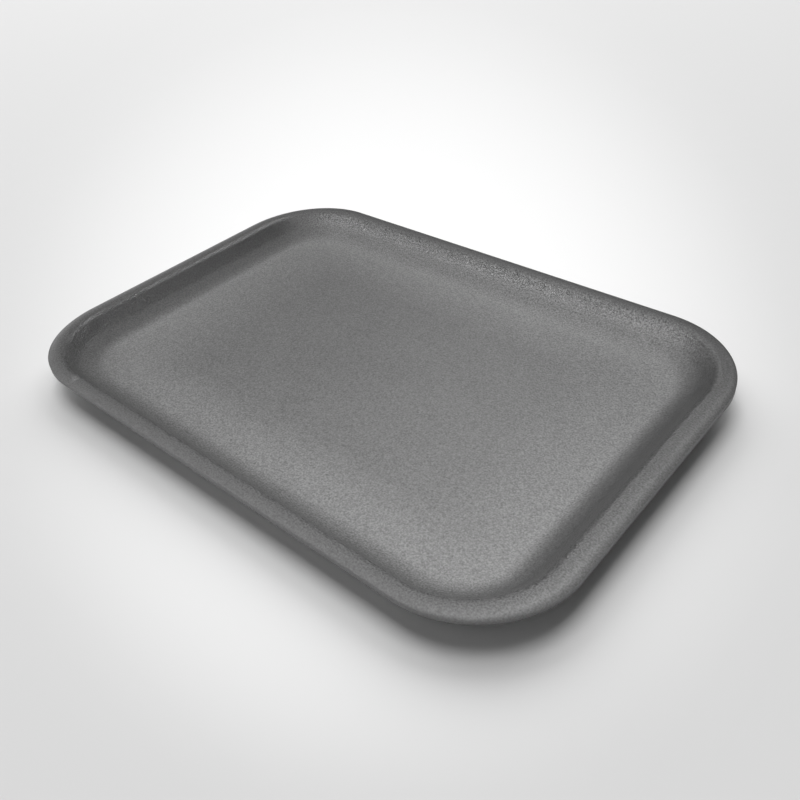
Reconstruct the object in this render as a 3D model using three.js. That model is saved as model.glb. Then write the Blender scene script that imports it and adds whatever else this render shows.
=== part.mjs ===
// A shallow rectangular meat tray, thermoformed in one piece from a sheet of foamed polystyrene.
// The flat floor rises through a wide cove into sloping walls. The walls roll over into a crowned
// rim that droops to a vertical die-cut edge. The ends slope more gently than the long sides.
// Millimetres, +Z up, +X along the tray's length. The origin is the centre of the underside.
import * as THREE from "three";
import { mergeVertices } from "three/addons/utils/BufferGeometryUtils.js";

// Overall sizes, over the cut edge of the rim.
const LENGTH = 209.6;
const WIDTH = 146.1;
const HEIGHT = 12.7;
const CORNER_RADIUS = 32.8;

// Thickness of the foam. It is stretched in the walls and pressed together in the rim.
const FLOOR_THICKNESS = 4.0;
const WALL_THICKNESS = 2.9;
const SHOULDER_THICKNESS = 2.3;
const LIP_THICKNESS = 1.8;

// The upper face of a wall, in section: its slope from the horizontal in degrees, the radii of the
// cove at the floor and of the shoulder at the rim, and the inset of the rim's highest line.
const END_WALL = { slope: 48, cove: 12, shoulder: 4, rimTop: 4.7 };
const SIDE_WALL = { slope: 58, cove: 11, shoulder: 3, rimTop: 3 };

// The rim's crown, outside its highest line: its radius, and its slope at the cut edge in degrees.
const CROWN_RADIUS = 7;
const RIM_DROOP = 23;

// How finely the arcs, the straight part of the wall and the corners are divided.
const COVE_STEPS = 9;
const SHOULDER_STEPS = 6;
const CROWN_STEPS = 4;
const WALL_STEPS = 2;
const CORNER_STEPS = 14;

// Points closer together than this are one point.
const MERGE_DISTANCE = 1e-4;

const radians = THREE.MathUtils.degToRad;

// Points from one slope to another along an arc, starting after the given point. Each is
// { u, z, slope }: u is the inset from the cut edge, z the height, and slope the rise from inside
// to outside. A positive turn is concave seen from above, like the cove, and a negative one convex.
function arc(from, radius, endSlope, steps) {
  const turn = Math.sign(endSlope - from.slope);
  const points = [];
  for (let i = 1; i <= steps; i++) {
    const slope = from.slope + ((endSlope - from.slope) * i) / steps;
    points.push({
      u: from.u - turn * radius * (Math.sin(slope) - Math.sin(from.slope)),
      z: from.z + turn * radius * (Math.cos(from.slope) - Math.cos(slope)),
      slope,
    });
  }
  return points;
}

// Points along a straight stretch, starting after the given point.
function straight(from, length, steps) {
  const points = [];
  for (let i = 1; i <= steps; i++) {
    const along = (length * i) / steps;
    points.push({
      u: from.u - along * Math.cos(from.slope),
      z: from.z + along * Math.sin(from.slope),
      slope: from.slope,
    });
  }
  return points;
}

// The upper face of a section, from the edge of the flat floor out to the cut edge. It is laid out
// inside out and then moved, so that the rim's highest point comes to its inset. The wall is as
// long as it has to be to bring the cove down to the floor, and in a tray too shallow for that the
// radii are less.
function upperFace(wall) {
  const slope = radians(wall.slope);
  const rise = HEIGHT - FLOOR_THICKNESS;
  const arcsRise = (wall.cove + wall.shoulder) * (1 - Math.cos(slope));
  const fit = Math.min(1, rise / arcsRise);
  const wallLength = (rise - fit * arcsRise) / Math.sin(slope);
  const floorEdge = { u: 0, z: FLOOR_THICKNESS, slope: 0 };
  const cove = arc(floorEdge, fit * wall.cove, slope, COVE_STEPS);
  const flank = straight(cove.at(-1), wallLength, WALL_STEPS);
  const shoulder = arc(flank.at(-1), fit * wall.shoulder, 0, SHOULDER_STEPS);
  const shift = wall.rimTop - shoulder.at(-1).u;
  const inside = [floorEdge, ...cove, ...flank, ...shoulder].map((p) => ({ ...p, u: p.u + shift }));
  return [...inside, ...crown(inside.at(-1))];
}

// The crown, from the rim's highest point to the cut edge: an arc down to the droop, then straight.
function crown(top) {
  const droop = radians(RIM_DROOP);
  const bent = arc(top, Math.min(CROWN_RADIUS, top.u / Math.sin(droop)), -droop, CROWN_STEPS);
  return [...bent, ...straight(bent.at(-1), bent.at(-1).u / Math.cos(droop), 1)];
}

// How thick the foam is at each point of the upper face, from the floor to the cut edge.
function thicknesses() {
  const run = (from, to, steps) =>
    Array.from({ length: steps }, (_, i) => THREE.MathUtils.lerp(from, to, (i + 1) / steps));
  return [
    FLOOR_THICKNESS,
    ...run(FLOOR_THICKNESS, WALL_THICKNESS, COVE_STEPS),
    ...run(WALL_THICKNESS, SHOULDER_THICKNESS, WALL_STEPS),
    ...run(SHOULDER_THICKNESS, LIP_THICKNESS, SHOULDER_STEPS + CROWN_STEPS + 1),
  ];
}

// A whole section as a loop of { u, z }: the upper face outwards, then the lower face back in. The
// cut edge between them stands upright.
function section(wall) {
  const upper = upperFace(wall);
  const thickness = thicknesses();
  const lower = upper.map((p, i) => ({
    u: p.u - thickness[i] * Math.sin(p.slope),
    z: p.z - thickness[i] * Math.cos(p.slope),
  }));
  const edge = upper.at(-1);
  lower[lower.length - 1] = { u: edge.u, z: edge.z - LIP_THICKNESS / Math.cos(edge.slope) };
  return [...upper, ...lower.reverse()];
}

// One ring of the tray, round its outline: a rounded rectangle inset by one section's u at the ends
// and by the other's at the sides. In each corner the height goes over from one to the other.
function ring(end, side) {
  const halfLength = LENGTH / 2 - end.u;
  const halfWidth = WIDTH / 2 - side.u;
  const radius = CORNER_RADIUS - (end.u + side.u) / 2;
  const points = [];
  for (let quarter = 0; quarter < 4; quarter++) {
    const signX = quarter === 0 || quarter === 3 ? 1 : -1;
    const signY = quarter < 2 ? 1 : -1;
    for (let i = 0; i <= CORNER_STEPS; i++) {
      const angle = (Math.PI / 2) * (quarter + i / CORNER_STEPS);
      const alongX = Math.cos(angle);
      const alongY = Math.sin(angle);
      points.push(
        new THREE.Vector3(
          signX * (halfLength - radius) + radius * alongX,
          signY * (halfWidth - radius) + radius * alongY,
          end.z * alongX ** 2 + side.z * alongY ** 2,
        ),
      );
    }
  }
  return points;
}

// Joins the rings into one closed surface. The first ring is the upper edge of the floor and the
// last is the lower one, and each is closed by a flat fan about its centre.
function loft(rings) {
  const around = rings[0].length;
  const positions = rings.flat();
  const faces = [];
  for (let r = 0; r + 1 < rings.length; r++)
    for (let i = 0; i < around; i++) {
      const a = r * around + i;
      const b = r * around + ((i + 1) % around);
      faces.push(a, a + around, b + around, a, b + around, b);
    }
  const cap = (ringIndex, turned) => {
    const centre = positions.length;
    positions.push(new THREE.Vector3(0, 0, rings[ringIndex][0].z));
    for (let i = 0; i < around; i++) {
      const a = ringIndex * around + i;
      const b = ringIndex * around + ((i + 1) % around);
      faces.push(centre, ...(turned ? [b, a] : [a, b]));
    }
  };
  cap(0, false);
  cap(rings.length - 1, true);
  const geometry = new THREE.BufferGeometry().setFromPoints(positions);
  geometry.setIndex(faces);
  return mergeVertices(geometry, MERGE_DISTANCE);
}

function trayGeometry() {
  const ends = section(END_WALL);
  const sides = section(SIDE_WALL);
  const geometry = loft(ends.map((end, i) => ring(end, sides[i])));
  geometry.computeVertexNormals();
  return geometry;
}

const charcoalFoam = new THREE.MeshStandardMaterial({
  name: "charcoal foamed polystyrene",
  color: new THREE.Color().setRGB(0.19, 0.19, 0.19),
  roughness: 0.5,
  metalness: 0,
});

const tray = new THREE.Mesh(trayGeometry(), charcoalFoam);
tray.name = "tray";

const meatTray = new THREE.Group();
meatTray.add(tray);

export default meatTray;
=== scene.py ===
"""A charcoal foam meat tray on pale paper, seen from above one corner.

The tray is one surface, worked out as a grid: its rows follow the section from the middle of the
floor up the wall, over the rim and back along the underside, and its columns go round the outline.
"""

from math import cos, radians, sin

import bpy
import numpy as np
from mathutils import Matrix, Vector


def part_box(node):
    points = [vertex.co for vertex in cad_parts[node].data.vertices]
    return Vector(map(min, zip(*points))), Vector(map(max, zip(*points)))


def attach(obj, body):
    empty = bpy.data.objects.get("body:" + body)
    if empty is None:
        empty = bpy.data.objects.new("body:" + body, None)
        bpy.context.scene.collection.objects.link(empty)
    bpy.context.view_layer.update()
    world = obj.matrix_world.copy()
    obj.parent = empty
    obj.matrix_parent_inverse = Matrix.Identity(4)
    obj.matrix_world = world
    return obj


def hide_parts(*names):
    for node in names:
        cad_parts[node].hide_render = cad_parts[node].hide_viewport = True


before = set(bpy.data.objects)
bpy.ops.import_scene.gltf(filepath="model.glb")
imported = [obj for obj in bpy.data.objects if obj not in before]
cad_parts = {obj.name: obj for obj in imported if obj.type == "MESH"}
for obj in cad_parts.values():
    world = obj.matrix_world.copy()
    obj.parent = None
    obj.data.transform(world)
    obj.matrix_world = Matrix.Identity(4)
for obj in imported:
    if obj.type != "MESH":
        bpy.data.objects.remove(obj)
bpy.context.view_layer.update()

MM = 0.001

# The tray's section, as in the solid. Lengths are in millimetres and slopes in degrees.
TRAY_LOW, TRAY_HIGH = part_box("tray")
LENGTH, WIDTH, HEIGHT = ((high - low) / MM for low, high in zip(TRAY_LOW, TRAY_HIGH))
CORNER_RADIUS = 32.8
FLOOR_THICKNESS = 4.0
WALL_THICKNESS = 2.9
SHOULDER_THICKNESS = 2.3
LIP_THICKNESS = 1.8
END_WALL = {"slope": 48, "cove": 12, "shoulder": 4, "rim_top": 4.7}
SIDE_WALL = {"slope": 58, "cove": 11, "shoulder": 3, "rim_top": 3}
CROWN_RADIUS = 7
RIM_DROOP = 23

# How finely the surface is divided.
CORNER_COLUMNS = 72
END_COLUMNS = 40
SIDE_COLUMNS = 130
FLOOR_ROWS = 14
COVE_ROWS = 22
WALL_ROWS = 8
SHOULDER_ROWS = 14
CROWN_ROWS = 12
EDGE_ROWS = 4

# The rows of the grid at which a stretch of the section ends, counted from the middle of the floor.
FLOOR_END = FLOOR_ROWS - 1
COVE_END = FLOOR_END + COVE_ROWS
FLANK_END = COVE_END + WALL_ROWS
RIM_TOP = FLANK_END + SHOULDER_ROWS
CROWN_END = RIM_TOP + CROWN_ROWS
CUT_EDGE_TOP = CROWN_END + 1
CUT_EDGE_LOW = CUT_EDGE_TOP + EDGE_ROWS
UPPER_POINTS = CUT_EDGE_TOP - FLOOR_END + 1
SECTION_POINTS = 2 * UPPER_POINTS + EDGE_ROWS - 1
GRID_ROWS = SECTION_POINTS + 2 * FLOOR_END

# The foam's grey, by row, for the ends and for the sides. Painted shade and light are in it: the
# walls, the ends' most, and the cut edge are darkened as painted shade, and the floor's edge and
# the ends' crown are lightened as painted light.
GREYS_WITH_PAINTED_SHADE = [
    (0, 0.19, 0.19),
    (FLOOR_END - 5, 0.198, 0.198),
    (FLOOR_END, 0.265, 0.275),
    (FLOOR_END + 0.12 * COVE_ROWS, 0.255, 0.26),
    (FLOOR_END + 0.23 * COVE_ROWS, 0.21, 0.24),
    (FLOOR_END + 0.35 * COVE_ROWS, 0.155, 0.22),
    (FLOOR_END + 0.55 * COVE_ROWS, 0.105, 0.2),
    (COVE_END, 0.085, 0.18),
    (FLANK_END, 0.08, 0.17),
    (FLANK_END + 0.5 * SHOULDER_ROWS, 0.095, 0.14),
    (RIM_TOP, 0.145, 0.12),
    (RIM_TOP + 0.5 * CROWN_ROWS, 0.185, 0.12),
    (CROWN_END, 0.25, 0.11),
    (CUT_EDGE_TOP, 0.19, 0.09),
    (CUT_EDGE_LOW, 0.08, 0.08),
    (CUT_EDGE_LOW + CROWN_ROWS, 0.2, 0.2),
]

# How glossy the foam's skin is, by row, for the ends and for the sides: 0 is matte and 1 is satin.
# The rim's outside is dullest.
SHEENS = [
    (0, 0.6, 0.6),
    (FLOOR_END, 0.4, 0.4),
    (FLOOR_END + 0.15 * COVE_ROWS, 0.1, 0.2),
    (FLOOR_END + 0.7 * COVE_ROWS, 0.2, 0.5),
    (COVE_END, 0.8, 1.0),
    (FLANK_END, 1.0, 1.0),
    (FLANK_END + 0.5 * SHOULDER_ROWS, 1.0, 0.25),
    (RIM_TOP - 4, 1.0, 0.1),
    (RIM_TOP, 0.4, 0.05),
    (CROWN_END, 0.2, 0.05),
    (CUT_EDGE_LOW, 0.05, 0.05),
    (CUT_EDGE_LOW + CROWN_ROWS, 0.4, 0.4),
]

# How clearly the foam's cells show, by row, for the ends and for the sides.
GRAINS = [
    (FLOOR_END, 1.2, 1.2),
    (COVE_END, 1.4, 2.0),
    (FLANK_END, 1.4, 2.8),
    (RIM_TOP, 1.8, 1.4),
    (CUT_EDGE_TOP, 1.0, 1.0),
    (CUT_EDGE_LOW, 0.8, 0.8),
]

# Ripples that the foam takes where it is stretched round a corner: their number over a corner and
# their depth in millimetres, by the signs of the corner's x and y.
RIPPLES = {(1, 1): (17, 0.05), (-1, 1): (13, 0.07), (-1, -1): (15, 0.03), (1, -1): (15, 0.02)}

# Nicks in the rim: (x, y, reach along x, reach along y, depth) in millimetres, and how much paler
# the torn foam is for each millimetre of depth.
NICKS = [(-68.4, -70.8, 0.8, 1.5, 1.1)]
TORN_PALER = 0.55

# The camera, found by fitting the rim's outline. The target is a point near the rim's height.
CAMERA_AZIMUTH = radians(43.74)
CAMERA_ELEVATION = radians(38.43)
CAMERA_ROLL = radians(-5.05)
CAMERA_DISTANCE = 249.4 * MM
CAMERA_TARGET = Vector((26.1 * MM, -15.5 * MM, 12.0 * MM))
CAMERA_LENS_MM = 36.77
CAMERA_SENSOR_MM = 36

# The foam's finish. Its grey is varied by fine cells and by faint clouds, both of which are noise
# of so many waves to the metre. The cells also stand out. A full sheen takes off some roughness.
CELLS_PER_METRE = 1900
CLOUDS_PER_METRE = 60
EVEN_TINT = 0.95
CELL_TINT = 1.4
CLOUD_TINT = 0.1
CELL_RELIEF = 0.15 * MM
MATTE_ROUGHNESS = 0.7
SHEEN_SMOOTHING = 0.4

# The paper under the tray: how many squares it has along a side, how far it reaches from the middle
# in metres, how strongly the squares crowd there, and its height, which is just under the tray's
# underside, so that the two don't coincide.
PAPER_SQUARES = 160
PAPER_REACH = 3.0
PAPER_CROWDING = 4.0
PAPER_HEIGHT = -0.02 * MM

# The paper's white, by the tangent of the angle from the camera's line of sight: a painted pool of
# light, whitest round the tray and greyer away from it.
PAPER_TANGENTS = [0.0, 0.15, 0.25, 0.29, 0.34, 0.39, 0.44, 0.49, 0.54, 0.59, 0.7]
PAPER_WHITES_WITH_PAINTED_LIGHT = [0.9, 0.89, 0.875, 0.85, 0.81, 0.765, 0.715, 0.67, 0.65, 0.645, 0.64]

# The soft lamps: the name of each, what it lights, the way to it from the tray as azimuth and
# elevation in degrees and distance in metres, its width and height in metres, and its watts. The
# foam's come from the right, the front, behind and above, and the paper's mostly from behind and
# above. The last comes from under the paper, and shows the tray's underside where the paper is
# taken away.
LAMPS = [
    ("near", "foam", 42, 50, 0.24, 0.12, 0.12, 0.255),
    ("window", "foam", 72, 30, 2.0, 1.6, 1.0, 4.0),
    ("front", "foam", 330, 27, 0.5, 0.15, 0.15, 1.25),
    ("back", "foam", 200, 54, 0.5, 0.12, 0.12, 0.58),
    ("fill", "foam", 265, 72, 1.0, 1.0, 1.0, 0.3),
    ("sky", "paper", 265, 84, 2.0, 1.0, 1.0, 16.5),
    ("shadow", "paper", 200, 40, 3.0, 2.4, 2.7, 60.0),
    ("shadow_right", "paper", 250, 37, 3.0, 2.4, 2.7, 52.0),
    ("front_fill", "paper", 10, 45, 2.0, 1.5, 1.5, 4.0),
    ("under", "foam", 60, -50, 1.0, 0.6, 0.6, 2.0),
]

# The dim, even light of the surround.
WORLD_LIGHT = 0.05


def in_scene(name, data):
    """A new object of this data, in the scene."""
    thing = bpy.data.objects.new(name, data)
    bpy.context.scene.collection.objects.link(thing)
    return thing


def arc(start, radius, end_slope, rows):
    """Points (inset, height, slope) along an arc from the slope of start to end_slope, after start.

    Inset changes by radius times the change of the slope's sine, and height by radius times the
    change of its cosine. The arc is concave seen from above where the slope grows."""
    inset, height, slope = start
    turn = np.sign(end_slope - slope)
    slopes = slope + (end_slope - slope) * np.arange(1, rows + 1) / rows
    return np.column_stack(
        [
            inset - turn * radius * (np.sin(slopes) - sin(slope)),
            height + turn * radius * (cos(slope) - np.cos(slopes)),
            slopes,
        ]
    )


def straight(start, length, rows):
    """Points (inset, height, slope) along a line of the slope of start, after start."""
    inset, height, slope = start
    along = length * np.arange(1, rows + 1) / rows
    return np.column_stack(
        [inset - along * cos(slope), height + along * sin(slope), np.full(rows, slope)]
    )


def upper_face(wall):
    """The upper face in section, from the floor's edge to the cut edge, as (inset, height, slope).

    A cove of the wall's radius, a straight flank that makes up the height, a shoulder, and the
    crown, which ends at the droop. The whole is shifted so that the rim's top has its inset."""
    slope = radians(wall["slope"])
    rise = HEIGHT - FLOOR_THICKNESS
    arcs_rise = (wall["cove"] + wall["shoulder"]) * (1 - cos(slope))
    flank_length = (rise - arcs_rise) / sin(slope)
    floor_edge = np.array([[0.0, FLOOR_THICKNESS, 0.0]])
    cove = arc(floor_edge[-1], wall["cove"], slope, COVE_ROWS)
    flank = straight(cove[-1], flank_length, WALL_ROWS)
    shoulder = arc(flank[-1], wall["shoulder"], 0.0, SHOULDER_ROWS)
    inside = np.vstack([floor_edge, cove, flank, shoulder])
    inside[:, 0] += wall["rim_top"] - inside[-1, 0]
    droop = radians(RIM_DROOP)
    bend = min(CROWN_RADIUS, wall["rim_top"] / sin(droop))
    crown = arc(inside[-1], bend, -droop, CROWN_ROWS)
    lip = straight(crown[-1], crown[-1, 0] / cos(droop), 1)
    return np.vstack([inside, crown, lip])


def thicknesses():
    """The foam's thickness at each point of the upper face, linear along each stretch."""
    outer_rows = SHOULDER_ROWS + CROWN_ROWS + 1
    return np.concatenate(
        [
            np.linspace(FLOOR_THICKNESS, WALL_THICKNESS, COVE_ROWS + 1),
            np.linspace(WALL_THICKNESS, SHOULDER_THICKNESS, WALL_ROWS + 1)[1:],
            np.linspace(SHOULDER_THICKNESS, LIP_THICKNESS, outer_rows + 1)[1:],
        ]
    )


def section(wall):
    """The whole section as (inset, height): the upper face outwards, the upright cut edge, and the
    lower face back in, which lies the foam's thickness below the upper one, square to it."""
    upper = upper_face(wall)
    thickness = thicknesses()
    lower = np.column_stack(
        [
            upper[:, 0] - thickness * np.sin(upper[:, 2]),
            upper[:, 1] - thickness * np.cos(upper[:, 2]),
        ]
    )
    edge_top = upper[-1, :2]
    edge_low = edge_top - [0, LIP_THICKNESS / cos(upper[-1, 2])]
    shares = np.arange(1, EDGE_ROWS)[:, None] / EDGE_ROWS
    edge = edge_top + (edge_low - edge_top) * shares
    return np.vstack([upper[:, :2], edge, [edge_low], lower[-2::-1]])


def outline_columns():
    """For each column round the outline: the quarter's signs, and the corner arc's direction.

    Straight stretches have a constant direction and a share that goes along them, so a column is
    (corner x, corner y, direction x, direction y) for a rounded rectangle of any size."""
    ends = (np.arange(END_COLUMNS) + 0.5) / END_COLUMNS * 2 - 1
    sides = (np.arange(SIDE_COLUMNS) + 0.5) / SIDE_COLUMNS * 2 - 1
    quarter = np.linspace(0, np.pi / 2, CORNER_COLUMNS)
    columns = []
    for turn, (x, y) in enumerate([(1, 1), (-1, 1), (-1, -1), (1, -1)]):
        angle = quarter + turn * np.pi / 2
        signs = np.tile([x, y], (CORNER_COLUMNS, 1))
        columns.append(np.column_stack([signs, np.cos(angle), np.sin(angle)]))
        if turn % 2 == 0:
            run = np.column_stack([-x * sides, np.full(SIDE_COLUMNS, y)])
            facing = [0, y]
        else:
            run = np.column_stack([np.full(END_COLUMNS, x), -y * ends])
            facing = [x, 0]
        columns.append(np.column_stack([run, np.tile(facing, (len(run), 1))]))
    return np.vstack(columns)


def rings(ends, sides):
    """The grid of points, one ring for each row of the two sections.

    A ring is a rounded rectangle, inset by the end section's inset at the ends and by the side
    section's at the sides. Its height goes over from one to the other with the square of the
    outline's direction."""
    columns = outline_columns()
    radius = CORNER_RADIUS - (ends[:, 0] + sides[:, 0]) / 2
    reach_x = LENGTH / 2 - ends[:, 0] - radius
    reach_y = WIDTH / 2 - sides[:, 0] - radius
    x = reach_x[:, None] * columns[:, 0] + radius[:, None] * columns[:, 2]
    y = reach_y[:, None] * columns[:, 1] + radius[:, None] * columns[:, 3]
    z = ends[:, 1, None] * columns[:, 2] ** 2 + sides[:, 1, None] * columns[:, 3] ** 2
    return np.stack([x, y, z], axis=2)


def ripple_depths():
    """How far each point of the section's rings is pressed in by the corners' ripples.

    Round a corner the depth swings between nothing and its full size, as a sine, and it is
    multiplied by another sine, which is 0 at the corner's ends and 1 half-way round. Across the
    section it falls off as a bell from the rim's top, and nothing past the cut edge's top moves."""
    rows = FLOOR_END + np.arange(SECTION_POINTS)
    across = np.exp(-(((rows - RIM_TOP) / CROWN_ROWS) ** 2))
    across[rows > CUT_EDGE_TOP] = 0
    columns = outline_columns()
    toward_end = np.clip(columns[:, 2] ** 2, 0, 1)
    turned = np.arcsin(np.sqrt(toward_end)) / (np.pi / 2)
    round_corner = np.zeros(len(columns))
    for (x, y), (count, depth) in RIPPLES.items():
        here = (columns[:, 2] * x > 0) & (columns[:, 3] * y > 0)
        wave = (1 - np.sin(2 * np.pi * count * turned)) / 2
        round_corner += np.where(here, depth * wave * np.sin(np.pi * turned), 0)
    return across[:, None] * round_corner


def nick_depths(grid):
    """How far each point of the tray is pressed in by the rim's nicks, as bells in plan."""
    depth = np.zeros(grid.shape[:2])
    for x, y, reach_x, reach_y, deepest in NICKS:
        away = ((grid[:, :, 0] - x) / reach_x) ** 2 + ((grid[:, :, 1] - y) / reach_y) ** 2
        depth += deepest * np.exp(-away)
    depth[CUT_EDGE_TOP + 1 :] = 0
    return depth


def tray_grid():
    """All rows of the tray: the floor from near its middle, the section, and the underside."""
    walls = rings(section(END_WALL), section(SIDE_WALL))
    walls[:, :, 2] -= ripple_depths()
    shares = (np.arange(1, FLOOR_ROWS) / FLOOR_ROWS)[:, None, None]
    in_plane = np.array([1, 1, 0])
    upright = np.array([0, 0, 1])
    floor = walls[0] * in_plane * shares + walls[0] * upright
    underside = walls[-1] * in_plane * shares[::-1] + walls[-1] * upright
    grid = np.concatenate([floor, walls, underside])
    grid[:, :, 2] -= nick_depths(grid)
    return grid


def closed_grid_mesh(name, grid):
    """A mesh of the grid's quads, closed round the columns, with a fan over the first and last."""
    rows, columns, _ = grid.shape
    middle_top = [[0, 0, grid[0, 0, 2]]]
    middle_low = [[0, 0, grid[-1, 0, 2]]]
    points = np.vstack([grid.reshape(-1, 3), middle_top, middle_low]) * MM
    index = np.arange(rows * columns).reshape(rows, columns)
    around = np.roll(index, -1, axis=1)
    quads = np.stack([index[:-1], index[1:], around[1:], around[:-1]], axis=2).reshape(-1, 4)
    top = np.column_stack([index[0], around[0], np.full(columns, rows * columns)])
    low = np.column_stack([around[-1], index[-1], np.full(columns, rows * columns + 1)])
    mesh = bpy.data.meshes.new(name)
    mesh.from_pydata(points.tolist(), [], quads.tolist() + top.tolist() + low.tolist())
    mesh.shade_smooth()
    return mesh


def set_point_values(mesh, name, stops, factors=1.0):
    """Gives every point of the tray a value, under a name that its finish can read.

    Between stops of (row, end value, side value) the values go in straight lines, and from an end
    to a side they go over with the square of the outline's direction, as the heights do. Then each
    is multiplied by its factor."""
    rows = np.arange(GRID_ROWS)
    at, ends, sides = zip(*stops)
    toward_end = outline_columns()[:, 2] ** 2
    end_values = np.interp(rows, at, ends)[:, None]
    side_values = np.interp(rows, at, sides)[:, None]
    values = (end_values * toward_end + side_values * (1 - toward_end)) * factors
    middles = [values[0].mean(), values[-1].mean()]
    attribute = mesh.attributes.new(name, "FLOAT", "POINT")
    attribute.data.foreach_set("value", np.concatenate([values.ravel(), middles]))


def make_tray():
    grid = tray_grid()
    mesh = closed_grid_mesh("tray_skin", grid)
    # The grey by row holds painted shade and painted light.
    set_point_values(mesh, "grey", GREYS_WITH_PAINTED_SHADE, 1 + TORN_PALER * nick_depths(grid))
    set_point_values(mesh, "sheen", SHEENS)
    set_point_values(mesh, "grain", GRAINS)
    tray = in_scene("tray_skin", mesh)
    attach(tray, "root")
    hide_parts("tray")
    return tray


class Number:
    """A shader socket that carries a number, so that shader maths is written as expressions."""

    def __init__(self, finish, socket):
        self.finish = finish
        self.socket = socket

    def maths(self, operation, first, second):
        return self.finish.node("ShaderNodeMath", {"operation": operation}, {0: first, 1: second})

    def __add__(self, other):
        return self.maths("ADD", self, other)

    __radd__ = __add__

    def __mul__(self, other):
        return self.maths("MULTIPLY", self, other)

    __rmul__ = __mul__

    def __sub__(self, other):
        return self.maths("SUBTRACT", self, other)

    def __rsub__(self, other):
        return self.maths("SUBTRACT", other, self)


class Finish:
    """A material and the nodes that make it."""

    def __init__(self, name):
        self.material = bpy.data.materials.new(name)
        self.material.use_nodes = True
        self.nodes = self.material.node_tree.nodes
        self.links = self.material.node_tree.links
        self.nodes.clear()

    def node(self, kind, settings=None, inputs=None, output=0):
        """Adds a node: its settings are set first, then its sockets' values or links."""
        node = self.nodes.new(kind)
        for name, value in (settings or {}).items():
            setattr(node, name, value)
        for name, value in (inputs or {}).items():
            if isinstance(value, Number):
                self.links.new(value.socket, node.inputs[name])
            else:
                node.inputs[name].default_value = value
        return Number(self, node.outputs[output]) if node.outputs else node

    def point_values(self, name):
        """The values that the mesh holds for its points under this name."""
        return self.node("ShaderNodeAttribute", {"attribute_name": name}, output="Fac")

    def noise(self, place, scale, detail):
        return self.node(
            "ShaderNodeTexNoise", None, {"Vector": place, "Scale": scale, "Detail": detail}
        )

    def surface(self, inputs):
        """Ends the material with one shader of these inputs, and returns it."""
        shader = self.node("ShaderNodeBsdfPrincipled", None, inputs)
        self.node("ShaderNodeOutputMaterial", None, {"Surface": shader})
        return self.material


def foam_finish():
    """Satin charcoal foam: fine closed cells under a thin skin."""
    finish = Finish("charcoal_foam")
    place = finish.node("ShaderNodeTexCoord", output="Object")
    # The grey by row, with painted shade and painted light in it.
    foam_grey_with_painted_shade = finish.point_values("grey")
    sheen = finish.point_values("sheen")
    clear = finish.point_values("grain")
    cells = finish.noise(place, CELLS_PER_METRE, 2)
    grain = (cells - 0.5) * clear
    clouds = finish.noise(place, CLOUDS_PER_METRE, 3)
    bump = finish.node(
        "ShaderNodeBump", None, {"Height": grain, "Strength": 1.0, "Distance": CELL_RELIEF}
    )
    return finish.surface(
        {
            "Base Color": foam_grey_with_painted_shade * (EVEN_TINT + CELL_TINT * grain + CLOUD_TINT * clouds),
            "Roughness": MATTE_ROUGHNESS - SHEEN_SMOOTHING * sheen,
            "Specular IOR Level": 0.9,
            "Normal": bump,
        }
    )


def paper_finish():
    """Pale matte paper with a painted pool of light: whitest round the tray and greyer away from
    it.
    """
    finish = Finish("pale_floor")
    white = finish.point_values("white")
    return finish.surface({"Base Color": white, "Roughness": 0.9, "Specular IOR Level": 0.0})


def make_paper():
    """A level square of paper, far larger than the camera sees. Its lines lie at the reach times
    the hyperbolic sine of even steps, so that the squares are small near the tray. Its white falls
    off with the angle from the camera's line of sight, and is darkest behind the camera."""
    steps = np.linspace(-1, 1, PAPER_SQUARES + 1)
    lines = np.sinh(steps * PAPER_CROWDING) / np.sinh(PAPER_CROWDING) * PAPER_REACH
    x, y = np.meshgrid(lines, lines, indexing="ij")
    points = np.stack([x, y, np.full_like(x, PAPER_HEIGHT)], axis=2).reshape(-1, 3)
    index = np.arange(len(points)).reshape(x.shape)
    quads = np.stack([index[:-1, :-1], index[1:, :-1], index[1:, 1:], index[:-1, 1:]], axis=2)
    mesh = bpy.data.meshes.new("floor")
    mesh.from_pydata(points.tolist(), [], quads.reshape(-1, 4).tolist())
    back = np.array(way_to(CAMERA_AZIMUTH, CAMERA_ELEVATION))
    sight = points - (np.array(CAMERA_TARGET) + CAMERA_DISTANCE * back)
    forward = -sight @ back
    off_axis = np.sqrt(np.maximum((sight**2).sum(axis=1) - forward**2, 0)) / np.abs(forward)
    off_axis[forward <= 0] = PAPER_TANGENTS[-1]
    # The white falls off as a painted pool of light round the camera's line of sight.
    white = np.interp(off_axis, PAPER_TANGENTS, PAPER_WHITES_WITH_PAINTED_LIGHT)
    mesh.attributes.new("white", "FLOAT", "POINT").data.foreach_set("value", white)
    paper = in_scene("floor", mesh)
    mesh.materials.append(paper_finish())
    return paper


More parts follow.
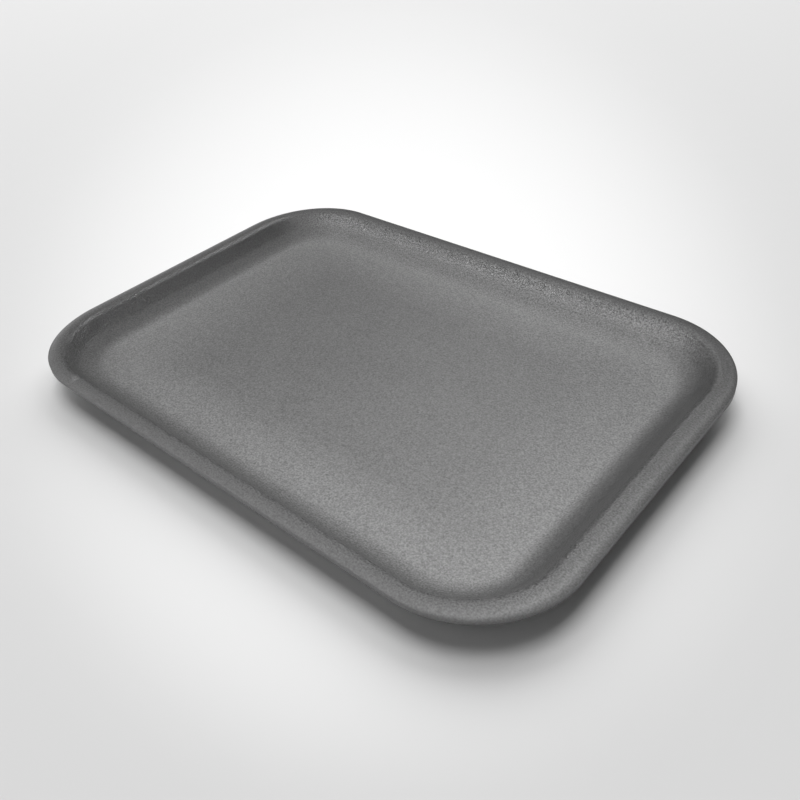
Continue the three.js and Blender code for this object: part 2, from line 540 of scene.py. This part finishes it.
def way_to(azimuth, elevation):
    """The unit vector from the tray toward something at this azimuth and elevation. The azimuth is
    0 toward -Y and a right angle toward +X."""
    return Vector(
        (sin(azimuth) * cos(elevation), -cos(azimuth) * cos(elevation), sin(elevation))
    )


def make_camera():
    """The camera looks along the line from its azimuth and elevation to the target, then rolls."""
    back = way_to(CAMERA_AZIMUTH, CAMERA_ELEVATION)
    right = Vector((0, 0, 1)).cross(back).normalized()
    up = back.cross(right)
    rolled_right = cos(CAMERA_ROLL) * right + sin(CAMERA_ROLL) * up
    rolled_up = back.cross(rolled_right)
    lens = bpy.data.cameras.new("camera")
    lens.lens = CAMERA_LENS_MM
    lens.sensor_width = CAMERA_SENSOR_MM
    lens.clip_start = 10 * MM
    camera = in_scene("camera", lens)
    axes = Matrix((rolled_right, rolled_up, back)).transposed().to_4x4()
    camera.matrix_world = Matrix.Translation(CAMERA_TARGET + CAMERA_DISTANCE * back) @ axes
    bpy.context.scene.camera = camera


def group(name, thing):
    """A collection of one thing, for lamps to light."""
    collection = bpy.data.collections.new(name)
    collection.objects.link(thing)
    return collection


def area_light(name, lit, azimuth, elevation, distance, width, height, watts):
    """A soft rectangular lamp that faces the tray and lights only what is in the group."""
    lamp = bpy.data.lights.new(name, "AREA")
    lamp.shape = "RECTANGLE"
    lamp.size = width
    lamp.size_y = height
    lamp.energy = watts
    light = in_scene(name, lamp)
    toward = way_to(radians(azimuth), radians(elevation))
    light.location = distance * toward
    light.rotation_euler = toward.to_track_quat("Z", "Y").to_euler()
    light.light_linking.receiver_collection = lit


def make_lights(tray, paper):
    groups = {"foam": group("lit_foam", tray), "paper": group("lit_paper", paper)}
    for name, lit, *placing in LAMPS:
        area_light(name, groups[lit], *placing)


def make_world():
    world = bpy.data.worlds.new("studio")
    world.use_nodes = True
    background = world.node_tree.nodes["Background"]
    background.inputs["Color"].default_value = (1, 1, 1, 1)
    background.inputs["Strength"].default_value = WORLD_LIGHT
    bpy.context.scene.world = world


make_camera()
paper = make_paper()
tray = make_tray()
tray.data.materials.append(foam_finish())
make_lights(tray, paper)
make_world()
bpy.context.scene.view_settings.view_transform = "Standard"
